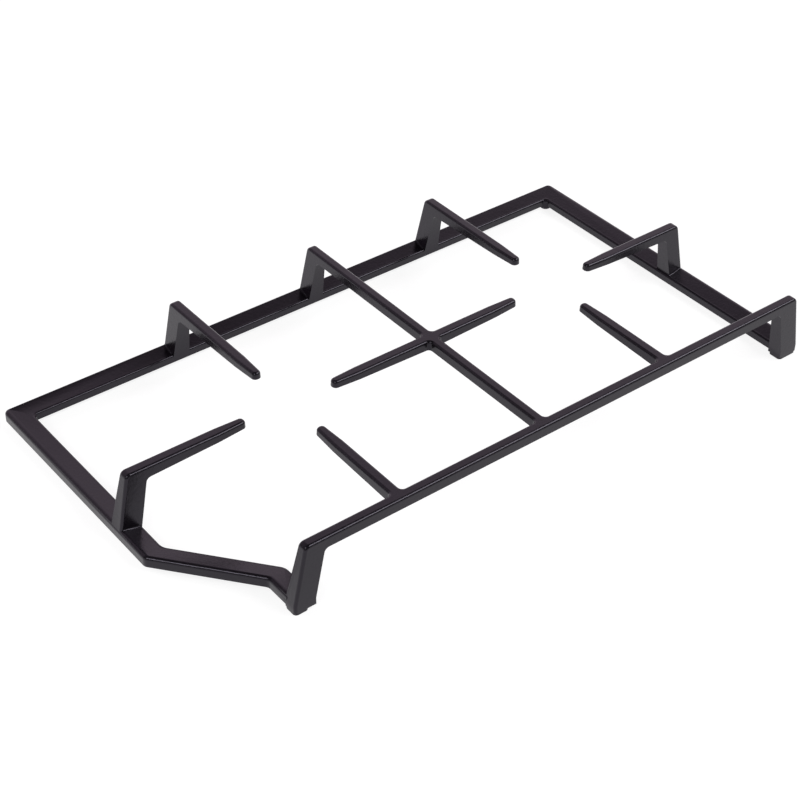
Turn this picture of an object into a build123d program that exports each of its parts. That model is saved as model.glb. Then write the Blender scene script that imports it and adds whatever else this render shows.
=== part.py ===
from build123d import *
import os
from math import atan2, degrees, radians, tan

# Left-hand pan support for a four-burner gas hob: one enamelled casting, in millimetres

# Overall sizes
frame_length = 470.0          # X, over the outer faces of the side bars
frame_depth = 254.5           # Y, front bar's top front edge to the back bar's outer face
bar_rise = 45.0               # underside of the frame to the pan surface
foot_height = 3.0             # hob surface to the underside of the frame

# Flat frame, whose top falls a little towards the inside
side_bar_width = 14.9
back_bar_width = 13.4
frame_outer_height = 7.7
frame_inner_height = 5.6
frame_outer_round = 2.3
frame_inner_round = 1.5
frame_bottom_chamfer = 0.5
frame_edge_flat = 1.8         # level strip along each edge of the falling top
back_corner_round = 4.0
inner_corner_round = 2.5

# Cut-away corner at the front left, leaving room for the control knobs
notch_width = 47.9            # X, from the left bar's outer face to the front leg
notch_start = 82.8            # Y, from the front edge to where the left bar turns in
notch_end = 24.9              # Y, from the front edge to where it turns back to the front
notch_bar_width = 14.0
notch_outer_round = 5.0
notch_inner_round = 9.0

# Raised bars, measured at the pan surface
bar_draft = 3.5               # degrees, each side, widening downwards
front_draft = 1.5             # degrees, front face of the front bar and its legs
left_lean = 12.5              # degrees, inner and outer faces of the posts on the left
right_lean = 10.2
back_lean = 10.8
right_post_width = 13.0       # X, right post at the frame; the other posts are as wide as their bars
right_leg_width = 16.4        # X, right front leg at the frame
front_bar_width = 7.2
front_bar_drop = 7.6          # depth of the front bar below the pan surface
middle_bar_width = 6.9
middle_bar_drop = 6.8
middle_bar_offset = 2.8       # right of the frame's centre line
cross_bar_line = 114.1        # Y, from the front edge to the cross bar's centre line
finger_width = 7.5            # fingers and the arms of the cross bar
front_finger_drop = 7.1       # depth of the front fingers where they leave the front bar
finger_root_drop = 7.7        # depth of the other fingers at their posts
finger_tip_drop = 4.8
tip_width = 5.6
tip_length = 20.0             # stretch over which a finger narrows to its tip
tip_round = 2.6
bar_edge_round = 1.9
junction_round = 3.0          # plan round where two raised bars meet
post_top_round = 3.8          # round where a bar's top turns down into its post's outer face
post_inner_round = 3.5        # round under a bar where it turns down into its post
post_foot_round = 2.0         # round where a post stands on the frame

# Burners: the fingers stop short of a clear circle round each centre
burner_first = 126.3          # X, from the left bar's outer face to the left burner centre
burner_spacing = 216.0
burner_line = 115.6           # Y, from the front edge to the burner centres
burner_clear = 65.2           # diameter left clear between finger tips

# Feet
leg_end_height = 2.2          # hob surface to the end of a front leg's full section
leg_foot_inset = 0.2          # feet of the front legs stand this far inside the legs' faces
leg_foot_corner = 2.5
leg_foot_chamfer = 0.4
left_foot_length = 10.0       # X, foot of the left leg, which stops short of the leg's inner face
corner_foot_diameter = 9.0
corner_foot_inset = 1.8       # corner feet stand this far under the frame from its inside corner
corner_foot_rise = 5.2        # underside of the frame to the corner feet's tops
corner_foot_chamfer = 0.9

# Levels and lines that follow from the sizes above
frame_bottom = foot_height
pan_level = foot_height + bar_rise
left = -frame_length / 2
right = frame_length / 2
lean_start = frame_inner_height - frame_inner_round    # height on the frame where posts begin to lean
lean_rise = bar_rise - lean_start
toe = lean_rise * tan(radians(front_draft))    # the legs' feet stand this far in front of the bar
back = (frame_depth + toe) / 2
front = back - frame_depth
leg_left = left + notch_width
leg_depth = toe + front_bar_width + lean_rise * tan(radians(bar_draft))    # a leg where its lean ends
leg_rear = front - toe + leg_depth
burner_y = front + burner_line
burner_left = left + burner_first
burner_right = burner_left + burner_spacing
cross_y = front + cross_bar_line
reach = burner_clear / 2
post_rise = bar_rise - frame_outer_height - post_foot_round    # a post above the round at its foot
foot_spread = post_rise * tan(radians(bar_draft))    # how far its sides spread over that height
margin = 20.0                 # how far trimmed shapes run past the faces that trim them


def outline(*points):
    """Closed flat face through plan points."""
    return make_face(Polyline(*points, close=True))


def rounded(face, corners, radius):
    """Round the corners of a flat face that lie at the given plan points."""
    points = [Vector(*c) for c in corners]
    chosen = [v for v in face.vertices() if any((Vector(v) - p).length < 0.01 for p in points)]
    return fillet(chosen, radius)


def frame_corners(side, rear, notch):
    """Plan corners of the frame inset by the given amounts, run on in front to be trimmed."""
    slope = (notch_start - notch_end) / notch_width
    rise = notch * (1 + slope ** 2) ** 0.5
    start = notch_start + rise - slope * side
    finish = notch_end + rise - slope * side
    return (
        (right - side, front - margin),
        (right - side, back - rear),
        (left + side, back - rear),
        (left + side, front + start),
        (leg_left + side, front + finish),
        (leg_left + side, front - margin),
    )


def frame_ring():
    """Flat open frame with a top that falls inwards and meets in mitres at the corners."""
    outer = frame_corners(0, 0, 0)
    inner = frame_corners(side_bar_width, back_bar_width, notch_bar_width)
    outer_face = rounded(outline(*outer), outer[1:3], back_corner_round)
    outer_face = rounded(outer_face, outer[3:5], notch_outer_round)
    inner_face = rounded(outline(*inner), inner[1:3], inner_corner_round)
    inner_face = rounded(inner_face, inner[3:5], notch_inner_round)
    plate = extrude(outer_face, frame_outer_height)
    plate = fillet(rim(plate, outer_face, frame_outer_height), frame_outer_round)
    plate = chamfer(rim(plate, outer_face, 0), frame_bottom_chamfer)
    flat = frame_edge_flat
    fall = frame_outer_height - frame_inner_height
    slope = degrees(atan2(back_bar_width - 2 * flat, fall))
    low = frame_corners(side_bar_width - flat, back_bar_width - flat, notch_bar_width - flat)
    plate -= extrude(Pos(0, 0, frame_inner_height) * outline(*low), fall, taper=-slope)
    plate -= extrude(inner_face, frame_outer_height)
    plate = fillet(rim(plate, inner_face, frame_inner_height), frame_inner_round)
    inside_legs = leg_rear - bar_edge_round - 0.5
    trim = Plane(origin=(0, inside_legs, 0), x_dir=(1, 0, 0), z_dir=(0, 1, 0))
    return Pos(0, 0, frame_bottom) * split(plate, bisect_by=trim, keep=Keep.TOP)


def rim(plate, face, height):
    """Edges of the plate that lie over the face's outline at a height, but for the run-on front."""
    wire = Pos(0, 0, height) * face.face().outer_wire()
    return [
        e for e in plate.edges()
        if wire.distance_to(e @ 0.5) < 0.01 and (e @ 0.5).Y > front - margin + 0.1
    ]


def finger_plan(length):
    """Plan of a finger that points along +X and ends at the origin in a narrower, rounded tip."""
    tips = ((0, -tip_width / 2), (0, tip_width / 2))
    face = outline(
        (-length, -finger_width / 2),
        (-tip_length, -finger_width / 2),
        *tips,
        (-tip_length, finger_width / 2),
        (-length, finger_width / 2),
    )
    return rounded(face, tips, tip_round)


def lean_in(angle, height):
    """How far a face leaning by the angle moves in over a height."""
    return height * tan(radians(angle))


def wall(plan):
    """Drafted wall that stands in the frame and narrows upwards to the plan at the pan surface."""
    foot = offset(plan, lean_in(bar_draft, lean_rise), kind=Kind.INTERSECTION)
    return extrude(Pos(0, 0, frame_bottom + lean_start) * foot, lean_rise, taper=bar_draft)


def lean_envelope(leftmost):
    """Space inside the leaning outer faces of the posts and legs, starting from the given left face."""
    low = frame_bottom + lean_start
    across = outline(
        (leftmost, low),
        (right, low),
        (right - lean_in(right_lean, lean_rise), pan_level),
        (leftmost + lean_in(left_lean, lean_rise), pan_level),
    )
    along = outline(
        (front - toe, low),
        (back, low),
        (back - lean_in(back_lean, lean_rise), pan_level),
        (front, pan_level),
    )
    sides = extrude(Plane.XZ * across, frame_depth, both=True)
    return sides & extrude(Plane.YZ * along, frame_length, both=True)


def soften(solid, plan):
    """Round a bar's top where it turns down its posts, then its edges and the posts' corners."""
    wire = Pos(0, 0, pan_level) * plan.face().outer_wire()
    turns = [e for e in solid.edges() if is_top_edge(e) and wire.distance_to(e @ 0.5) > 0.01]
    solid = fillet(turns, post_top_round)
    along = [e for e in solid.edges() if is_top_edge(e) and wire.distance_to(e @ 0.5) < 0.01]
    over = [e for e in solid.edges() if is_turn_edge(e)]
    down = [e for e in solid.edges() if is_post_edge(e)]
    return fillet(along + over + down, bar_edge_round)


def edge_levels(edge):
    """Heights of an edge's lower and upper ends."""
    return sorted(((edge @ 0).Z, (edge @ 1).Z))


def is_top_edge(edge):
    """True for an edge that lies in the pan surface."""
    return edge_levels(edge)[0] > pan_level - 0.01


def is_turn_edge(edge):
    """True for an edge that curves down from the pan surface into a post."""
    low, high = edge_levels(edge)
    return high > pan_level - 0.01 and 0.1 < high - low < 2 * post_top_round


def is_post_edge(edge):
    """True for an upright edge of a leaning outer face, which leans further than the draft makes it."""
    run = edge @ 1 - edge @ 0
    across = max(abs(run.X), abs(run.Y))
    leans = across > 0.8 * lean_in(min(left_lean, right_lean, back_lean), lean_rise)
    return leans and abs(run.Z) > lean_rise / 2


def bar_side(start, heading):
    """Upright plane along a bar: its x runs along the heading from start, its y is height."""
    return Plane(origin=start, x_dir=heading, z_dir=heading.cross(Vector(0, 0, 1)))


def under_finger(start, heading, clear_from, span, root_drop):
    """Space under a finger that springs from another bar, narrowing its depth towards the tip."""
    low = frame_bottom - margin
    profile = outline(
        (clear_from, low),
        (clear_from, pan_level - root_drop),
        (span, pan_level - finger_tip_drop),
        (span + margin, pan_level - finger_tip_drop),
        (span + margin, low),
    )
    return extrude(bar_side(start, heading) * profile, margin / 2, both=True)


def post_turn(width, angle, drop):
    """Corner where the leaning inner face of a post meets the underside of its bar."""
    return (width + lean_in(angle, lean_rise - drop), pan_level - drop)


def inner_low(width, angle):
    """Point well below the frame on the line of a post's leaning inner face."""
    return (width - lean_in(angle, lean_start + margin), frame_bottom - margin)


def under_post(start, heading, width, angle, span, root_drop, end_drop):
    """Space under a bar that turns down into a leaning post at its start."""
    turn = post_turn(width, angle, root_drop)
    profile = outline(
        inner_low(width, angle),
        turn,
        (span, pan_level - end_drop),
        (span + margin, pan_level - end_drop),
        (span + margin, frame_bottom - margin),
    )
    profile = rounded(profile, (turn,), post_inner_round)
    return extrude(bar_side(start, heading) * profile, margin / 2, both=True)


def foot_cove(edge, heading, half, width):
    """Hollow round along both sides of a post's foot, from edge inwards down the frame's top."""
    level = frame_bottom + frame_outer_height - 0.15
    spread = half + post_foot_round
    high = level + post_foot_round
    profile = outline((-spread, level - 2), (spread, level - 2), (spread, high), (-spread, high))
    for x in (-spread, spread):
        profile -= Pos(x, high) * Circle(post_foot_round)
    up = Vector(0, 0, 1)
    start = Plane(edge + heading * frame_outer_round, x_dir=up.cross(heading), z_dir=heading)
    across = width - frame_outer_round - frame_inner_round
    run = heading * across - up * (frame_outer_height - frame_inner_height)
    return extrude(start * profile, run.length, dir=run.normalized())


def post_finger(edge, tip, bar_width, post_width, angle):
    """Finger whose post stands on a frame bar, from the outer face at edge to its tip."""
    run = tip - edge
    heading = run.normalized()
    turn = degrees(atan2(run.Y, run.X))
    plan = Pos(tip.X, tip.Y) * Rot(0, 0, turn) * finger_plan(run.length + margin)
    body = soften(wall(plan) & lean_envelope(left), plan)
    drops = (finger_root_drop, finger_tip_drop)
    body -= under_post(edge, heading, post_width, angle, run.length, *drops)
    return body + foot_cove(edge, heading, finger_width / 2 + foot_spread, bar_width)


def post_fingers():
    """The four fingers that stand on the frame: left, right and two at the back."""
    to_left = Vector(burner_left - reach, burner_y)
    to_right = Vector(burner_right + reach, burner_y)
    fingers = [
        post_finger(Vector(left, burner_y), to_left, side_bar_width, side_bar_width, left_lean),
        post_finger(Vector(right, burner_y), to_right, side_bar_width, right_post_width, right_lean),
    ]
    for x in (burner_left, burner_right):
        tip = Vector(x, burner_y + reach)
        fingers.append(post_finger(Vector(x, back), tip, back_bar_width, back_bar_width, back_lean))
    return fingers


def middle_plan():
    """Plan of the front bar, middle bar, cross bar and front fingers, with rounded inside corners."""
    bar_back = front + front_bar_width
    half_middle = middle_bar_width / 2
    plan = outline((left, front), (right + margin, front), (right + margin, bar_back), (left, bar_back))
    plan += outline(
        (middle_bar_offset - half_middle, front + 1),
        (middle_bar_offset + half_middle, front + 1),
        (middle_bar_offset + half_middle, back + margin),
        (middle_bar_offset - half_middle, back + margin),
    )
    corners = [(middle_bar_offset + s * half_middle, bar_back) for s in (-1, 1)]
    for x in (burner_left, burner_right):
        plan += Pos(x, burner_y - reach) * Rot(0, 0, 90) * finger_plan(burner_line - reach - 1)
        corners += [(x + s * finger_width / 2, bar_back) for s in (-1, 1)]
    for x, angle in ((burner_left + reach, 180), (burner_right - reach, 0)):
        plan += Pos(x, cross_y) * Rot(0, 0, angle) * finger_plan(abs(x - middle_bar_offset))
    corners += [
        (middle_bar_offset + s * half_middle, cross_y + t * finger_width / 2)
        for s in (-1, 1) for t in (-1, 1)
    ]
    return rounded(plan, corners, junction_round)


def under_front_bar():
    """Space under the front bar between its two leaning legs."""
    low_left, low = inner_low(side_bar_width, left_lean)
    low_right, low = inner_low(right_leg_width, right_lean)
    turn_left, height = post_turn(side_bar_width, left_lean, front_bar_drop)
    turn_right, height = post_turn(right_leg_width, right_lean, front_bar_drop)
    turns = ((leg_left + turn_left, height), (right - turn_right, height))
    profile = outline((leg_left + low_left, low), *turns, (right - low_right, low))
    profile = rounded(profile, turns, post_inner_round)
    return extrude(bar_side(Vector(0, front, 0), Vector(1, 0, 0)) * profile, margin, both=True)


def under_middle_bar():
    """Space under the middle bar, from its post at the back to just behind the front bar."""
    rear = Vector(middle_bar_offset, back)
    span = frame_depth - front_bar_width - 1 - margin
    drop = middle_bar_drop
    return under_post(rear, Vector(0, -1), back_bar_width, back_lean, span, drop, drop)


def under_inner_fingers():
    """Spaces under the front fingers and under the arms of the cross bar."""
    spaces = []
    for x in (burner_left, burner_right):
        root = Vector(x, front)
        span = burner_line - reach
        spaces.append(under_finger(root, Vector(0, 1), front_bar_width + 1, span, front_finger_drop))
    for tip, way in ((burner_left + reach, -1), (burner_right - reach, 1)):
        root = Vector(middle_bar_offset, cross_y)
        clear = middle_bar_width / 2 + 1
        span = abs(tip - middle_bar_offset)
        spaces.append(under_finger(root, Vector(way, 0), clear, span, middle_bar_drop))
    return spaces


def grid_coves():
    """Hollow rounds at the foot of the middle bar's post and behind the two front legs."""
    rear = Vector(middle_bar_offset, back)
    half = front_bar_width / 2
    leg_line = front + half + foot_spread
    return [
        foot_cove(rear, Vector(0, -1), middle_bar_width / 2 + foot_spread, back_bar_width),
        foot_cove(Vector(leg_left, leg_line), Vector(1, 0), half, side_bar_width),
        foot_cove(Vector(right, leg_line), Vector(-1, 0), half, side_bar_width),
    ]


def middle_grid():
    """Front bar on its two legs, with the middle bar, cross bar and front fingers that join it."""
    plan = middle_plan()
    body = soften(wall(plan) & lean_envelope(leg_left), plan)
    body -= under_front_bar()
    body -= under_middle_bar()
    body -= under_inner_fingers()
    return body + leg_ends(body) + grid_coves()


def leg_ends(body):
    """The front legs' sections, run straight down from where the legs stop leaning."""
    level = frame_bottom + lean_start
    sections = [f for f in body.faces() if abs(f.center().Z - level) < 0.01 and f.center().Y < leg_rear]
    return [extrude(f, level - leg_end_height, dir=(0, 0, -1)) for f in sections]


def leg_foot(x, length):
    """Low foot under a front leg, with rounded corners, nearly as deep as the leg."""
    plan = RectangleRounded(length, leg_depth - 2 * leg_foot_inset, leg_foot_corner)
    foot = extrude(plan, leg_end_height + 1)
    foot = chamfer(foot.edges().group_by(Axis.Z)[0], leg_foot_chamfer)
    return Pos(x, leg_rear - leg_depth / 2, 0) * foot


def corner_foot(x, y):
    """Round foot in an inside corner of the frame, whose top comes nearly level with the inner edge."""
    height = foot_height + corner_foot_rise
    stud = Cylinder(corner_foot_diameter / 2, height, align=(Align.CENTER, Align.CENTER, Align.MIN))
    return Pos(x, y, 0) * chamfer(stud.edges().filter_by(GeomType.CIRCLE), corner_foot_chamfer)


def feet():
    """Low feet under the two front legs and studs in the two back corners."""
    pads = [
        leg_foot(leg_left + leg_foot_inset + left_foot_length / 2, left_foot_length),
        leg_foot(right - right_leg_width / 2, right_leg_width - 2 * leg_foot_inset),
    ]
    inset = side_bar_width - corner_foot_inset
    rear = back - back_bar_width + corner_foot_inset
    studs = [corner_foot(x, rear) for x in (left + inset, right - inset)]
    return pads + studs


def pan_support():
    """The whole casting."""
    return frame_ring() + post_fingers() + middle_grid() + feet()


os.makedirs("parts", exist_ok=True)
export_step(pan_support(), "parts/pan_support.step")
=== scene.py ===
import math

import bpy
from mathutils import Matrix, Vector


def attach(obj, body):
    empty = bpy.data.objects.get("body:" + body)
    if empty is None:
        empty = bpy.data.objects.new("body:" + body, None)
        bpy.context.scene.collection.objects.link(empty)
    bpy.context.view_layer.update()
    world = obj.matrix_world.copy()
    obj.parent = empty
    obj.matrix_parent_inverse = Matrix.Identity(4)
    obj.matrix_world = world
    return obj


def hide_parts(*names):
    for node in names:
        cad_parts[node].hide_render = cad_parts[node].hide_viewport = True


# A hob pan support cast in iron and coated with satin black enamel, on a white studio floor.
# Lengths are in metres, angles in degrees and lamp powers in watts.

# Camera, at the photograph's viewing angle
camera_heading = -39.352      # from straight in front of the raised bar, towards the cut-away corner
camera_elevation = 37.696
camera_roll = 1.566
camera_distance = 1.1664
camera_target = Vector((0.0, 0.00044, 0.003))
camera_lens = 78.78           # millimetres
camera_shift = (-0.0163, -0.0218)

# Casting
weld_gap = 0.00001            # corners of neighbouring facets closer than this are one corner
flat_limit = 0.05             # facets this nearly level with each other become one face
sharp_edge = 40.0             # edges that turn further than this stay crisp, all others are rounds

# Enamel
enamel_dark = (0.0036, 0.0026, 0.0040, 1.0)
enamel_light = (0.0062, 0.0047, 0.0068, 1.0)
enamel_gloss = 0.38           # strength of the glass surface's reflections
enamel_tint = (0.90, 0.84, 1.00, 1.0)
enamel_roughness = (0.18, 0.25)
patch_size = 0.035            # slow drift of tone along the bars
patch_detail = 3.0
peel_size = 0.0024            # ripple of the fired enamel
peel_detail = 2.0
peel_depth = 0.00010
grain_size = 0.00055          # sand grain of the casting under it
grain_detail = 3.0
grain_depth = 0.00005
relief_strength = 0.6         # of the ripple and of the grain
noise_roughness = 0.55
noise_range = (0.30, 0.70)    # nearly all of a noise's values lie between these

# Surroundings, with levels as pairs of a height, which is the sine of the elevation, and a brightness
backdrop_heading = Vector((0.469, 0.883, 0.0))    # from the part to the brightest of the backdrop
backdrop_reach = (0.00, 0.70)     # cosines of the angle from that heading where it starts and is full
backdrop_tint = (1.00, 0.86, 0.96)
backdrop_levels = ((0.00, 1.00), (0.58, 0.94), (0.70, 0.84), (0.78, 0.45), (0.86, 0.12))
room_tint = (1.00, 1.00, 1.00)
room_levels = ((0.00, 0.16), (0.30, 0.16), (0.92, 0.09))    # the darker side of the room, by the camera

# Floor
floor_size = 30.0
floor_grey = (0.25, 0.25, 0.25, 1.0)
floor_roughness = 0.9
floor_glow_colour = (1.0, 1.0, 1.0, 1.0)
floor_glow = 0.83             # lifts the grey to plain white where a picture or a gloss shows it

# Softboxes: name, place, width and height, power, whether the gloss shows it
softboxes = (
    ("edge_softbox", (1.345, -1.345, 1.90), (2.2, 0.9), 42.0, True),     # lines on edges at the front
    ("corner_softbox", (-1.70, -0.75, 1.35), (1.0, 0.6), 13.0, True),    # line on the cut-away corner
    ("fill_softbox", (-1.6, 1.7, 0.55), (2.0, 1.0), 60.0, False),        # fill from behind at the left
)


def deselect_all():
    """Leave nothing selected, so that an operator acts only on what is selected next."""
    bpy.ops.object.select_all(action="DESELECT")


def make_active(piece):
    """Select one piece alone and make it the one that operators act on."""
    deselect_all()
    piece.select_set(True)
    bpy.context.view_layer.objects.active = piece


def casting():
    """Casting with smoothly shaded rounds, merged from a copy of the CAD solid."""
    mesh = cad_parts["pan_support"].data.copy()
    piece = bpy.data.objects.new("pan_support_casting", mesh)
    bpy.context.scene.collection.objects.link(piece)
    make_active(piece)
    bpy.ops.object.mode_set(mode="EDIT")
    bpy.ops.mesh.select_all(action="SELECT")
    bpy.ops.mesh.remove_doubles(threshold=weld_gap)
    bpy.ops.mesh.customdata_custom_splitnormals_clear()
    bpy.ops.mesh.dissolve_limited(angle_limit=math.radians(flat_limit))
    bpy.ops.object.mode_set(mode="OBJECT")
    shade_rounds(piece)
    return piece


def shade_rounds(piece):
    """Shade the active piece's rounds smoothly and keep the flat faces flat beside them."""
    bpy.ops.object.shade_smooth_by_angle(angle=math.radians(sharp_edge))
    normals = piece.modifiers.new("flat_faces", "WEIGHTED_NORMAL")
    normals.keep_sharp = True
    bpy.ops.object.modifier_apply(modifier=normals.name)


def noise(nodes, links, place, size, detail):
    """Noise with features about as large as the given size."""
    texture = nodes.new("ShaderNodeTexNoise")
    texture.inputs["Scale"].default_value = 1.0 / size
    texture.inputs["Detail"].default_value = detail
    texture.inputs["Roughness"].default_value = noise_roughness
    links.new(place, texture.inputs["Vector"])
    return texture.outputs["Fac"]


def ramp(nodes, links, value, low, high):
    """A noise value turned into a colour between low and high."""
    blend = nodes.new("ShaderNodeValToRGB")
    for stop, place, colour in zip(blend.color_ramp.elements, noise_range, (low, high)):
        stop.position = place
        stop.color = colour
    links.new(value, blend.inputs["Fac"])
    return blend.outputs["Color"]


def spread(nodes, links, value, low, high):
    """A noise value stretched to run from low to high."""
    stretch = nodes.new("ShaderNodeMapRange")
    ends = (*noise_range, low, high)
    for name, end in zip(("From Min", "From Max", "To Min", "To Max"), ends):
        stretch.inputs[name].default_value = end
    links.new(value, stretch.inputs["Value"])
    return stretch.outputs["Result"]


def bump(nodes, links, height, depth, under=None):
    """Relief of a given depth, laid over another relief where one is given."""
    relief = nodes.new("ShaderNodeBump")
    relief.inputs["Distance"].default_value = depth
    relief.inputs["Strength"].default_value = relief_strength
    links.new(height, relief.inputs["Height"])
    if under is not None:
        links.new(under, relief.inputs["Normal"])
    return relief.outputs["Normal"]


def black_enamel():
    """Satin black enamel: a near-black glass with a faint purple tone over a grainy casting."""
    material = bpy.data.materials.new("satin_black_enamel")
    material.use_nodes = True
    nodes = material.node_tree.nodes
    links = material.node_tree.links
    shader = nodes["Principled BSDF"]
    place = nodes.new("ShaderNodeTexCoord").outputs["Object"]
    patches = noise(nodes, links, place, patch_size, patch_detail)
    peel = noise(nodes, links, place, peel_size, peel_detail)
    grain = noise(nodes, links, place, grain_size, grain_detail)
    links.new(ramp(nodes, links, patches, enamel_dark, enamel_light), shader.inputs["Base Color"])
    links.new(spread(nodes, links, peel, *enamel_roughness), shader.inputs["Roughness"])
    shader.inputs["Specular IOR Level"].default_value = enamel_gloss
    shader.inputs["Specular Tint"].default_value = enamel_tint
    ripple = bump(nodes, links, peel, peel_depth)
    links.new(bump(nodes, links, grain, grain_depth, ripple), shader.inputs["Normal"])
    return material


def dress(piece, material):
    """Give a piece one material all over."""
    piece.data.materials.clear()
    piece.data.materials.append(material)


def seen_directly(nodes, links):
    """One for what the camera sees, also in gloss or glass, and nought for light that spreads."""
    path = nodes.new("ShaderNodeLightPath")
    total = path.outputs["Is Camera Ray"]
    for ray in ("Is Glossy Ray", "Is Transmission Ray"):
        join = nodes.new("ShaderNodeMath")
        join.operation = "MAXIMUM"
        links.new(total, join.inputs[0])
        links.new(path.outputs[ray], join.inputs[1])
        total = join.outputs["Value"]
    return total


def white_floor():
    """Matt grey with a glow that makes it read as plain white and still take a soft shadow."""
    material = bpy.data.materials.new("white_floor")
    material.use_nodes = True
    nodes = material.node_tree.nodes
    links = material.node_tree.links
    shader = nodes["Principled BSDF"]
    shader.inputs["Base Color"].default_value = floor_grey
    shader.inputs["Roughness"].default_value = floor_roughness
    shader.inputs["Specular IOR Level"].default_value = 0.0
    shader.inputs["Emission Color"].default_value = floor_glow_colour
    glow = nodes.new("ShaderNodeMath")
    glow.operation = "MULTIPLY"
    glow.inputs[1].default_value = floor_glow
    links.new(seen_directly(nodes, links), glow.inputs[0])
    links.new(glow.outputs["Value"], shader.inputs["Emission Strength"])
    return material


def studio_floor():
    """Large white floor that fills the picture."""
    deselect_all()
    bpy.ops.mesh.primitive_plane_add(size=floor_size, location=(0, 0, 0))
    floor = bpy.context.object
    floor.name = "studio_floor"
    dress(floor, white_floor())


def lit(tint, level):
    """Colour of a tint lit to a given level."""
    return (*(channel * level for channel in tint), 1.0)


def levels(nodes, links, height, steps, tint):
    """Tinted light that runs through the given levels as the view rises."""
    shade = nodes.new("ShaderNodeValToRGB")
    stops = shade.color_ramp.elements
    for stop, (place, level) in zip(stops, (steps[0], steps[-1])):
        stop.position = place
        stop.color = lit(tint, level)
    for place, level in steps[1:-1]:
        stops.new(place).color = lit(tint, level)
    links.new(height, shade.inputs["Fac"])
    return shade.outputs["Color"]


def behind(nodes, links, way):
    """Nought towards the camera, rising smoothly to one towards the backdrop."""
    facing = nodes.new("ShaderNodeVectorMath")
    facing.operation = "DOT_PRODUCT"
    facing.inputs[1].default_value = backdrop_heading
    links.new(way, facing.inputs[0])
    rise = nodes.new("ShaderNodeMapRange")
    rise.interpolation_type = "SMOOTHSTEP"
    for name, end in zip(("From Min", "From Max"), backdrop_reach):
        rise.inputs[name].default_value = end
    links.new(facing.outputs["Value"], rise.inputs["Value"])
    return rise.outputs["Result"]


def studio_world():
    """Surroundings: a pale backdrop behind the part, dim overhead and on the camera's side."""
    world = bpy.data.worlds.new("studio")
    bpy.context.scene.world = world
    world.use_nodes = True
    nodes = world.node_tree.nodes
    links = world.node_tree.links
    way = nodes.new("ShaderNodeTexCoord").outputs["Generated"]
    parts = nodes.new("ShaderNodeSeparateXYZ")
    links.new(way, parts.inputs["Vector"])
    room = levels(nodes, links, parts.outputs["Z"], room_levels, room_tint)
    backdrop = levels(nodes, links, parts.outputs["Z"], backdrop_levels, backdrop_tint)
    blend = nodes.new("ShaderNodeMix")
    blend.data_type = "RGBA"
    links.new(behind(nodes, links, way), blend.inputs["Factor"])
    links.new(room, blend.inputs["A"])
    links.new(backdrop, blend.inputs["B"])
    links.new(blend.outputs["Result"], nodes["Background"].inputs["Color"])


def softbox(name, place, size, power, in_gloss):
    """Large soft lamp that faces the part, seen in its gloss or not."""
    light = bpy.data.lights.new(name, "AREA")
    light.shape = "RECTANGLE"
    light.size, light.size_y = size
    light.energy = power
    lamp = bpy.data.objects.new(name, light)
    bpy.context.scene.collection.objects.link(lamp)
    lamp.location = place
    lamp.rotation_euler = (-Vector(place)).to_track_quat("-Z", "Y").to_euler()
    lamp.visible_glossy = in_gloss


def studio_lights():
    """Two softboxes that draw the light lines on the edges, and a fill behind the part at the left."""
    for settings in softboxes:
        softbox(*settings)


def photo_camera():
    """Camera that sees the part as the photograph does."""
    heading = math.radians(camera_heading)
    lift = math.radians(camera_elevation)
    tilt = math.radians(camera_roll)
    sideways = math.sin(heading) * math.cos(lift)
    forwards = -math.cos(heading) * math.cos(lift)
    back = Vector((sideways, forwards, math.sin(lift)))
    level = Vector((0, 0, 1)).cross(back).normalized()
    upright = back.cross(level)
    right = level * math.cos(tilt) + upright * math.sin(tilt)
    up = upright * math.cos(tilt) - level * math.sin(tilt)
    data = bpy.data.cameras.new("photo_camera")
    data.lens = camera_lens
    data.shift_x, data.shift_y = camera_shift
    camera = bpy.data.objects.new("photo_camera", data)
    bpy.context.scene.collection.objects.link(camera)
    turn = Matrix((right, up, back)).transposed().to_4x4()
    camera.matrix_world = Matrix.Translation(camera_target + back * camera_distance) @ turn
    bpy.context.scene.camera = camera


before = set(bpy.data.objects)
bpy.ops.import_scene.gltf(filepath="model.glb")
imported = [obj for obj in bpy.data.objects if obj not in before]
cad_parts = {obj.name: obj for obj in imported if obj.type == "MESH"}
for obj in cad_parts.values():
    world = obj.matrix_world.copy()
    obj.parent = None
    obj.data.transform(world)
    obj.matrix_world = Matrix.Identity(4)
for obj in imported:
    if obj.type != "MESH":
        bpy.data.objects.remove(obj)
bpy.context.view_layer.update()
bpy.context.scene.view_settings.view_transform = "Standard"

pan_support = casting()
dress(pan_support, black_enamel())
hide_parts("pan_support")
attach(pan_support, "root")

studio_floor()
studio_world()
studio_lights()
photo_camera()
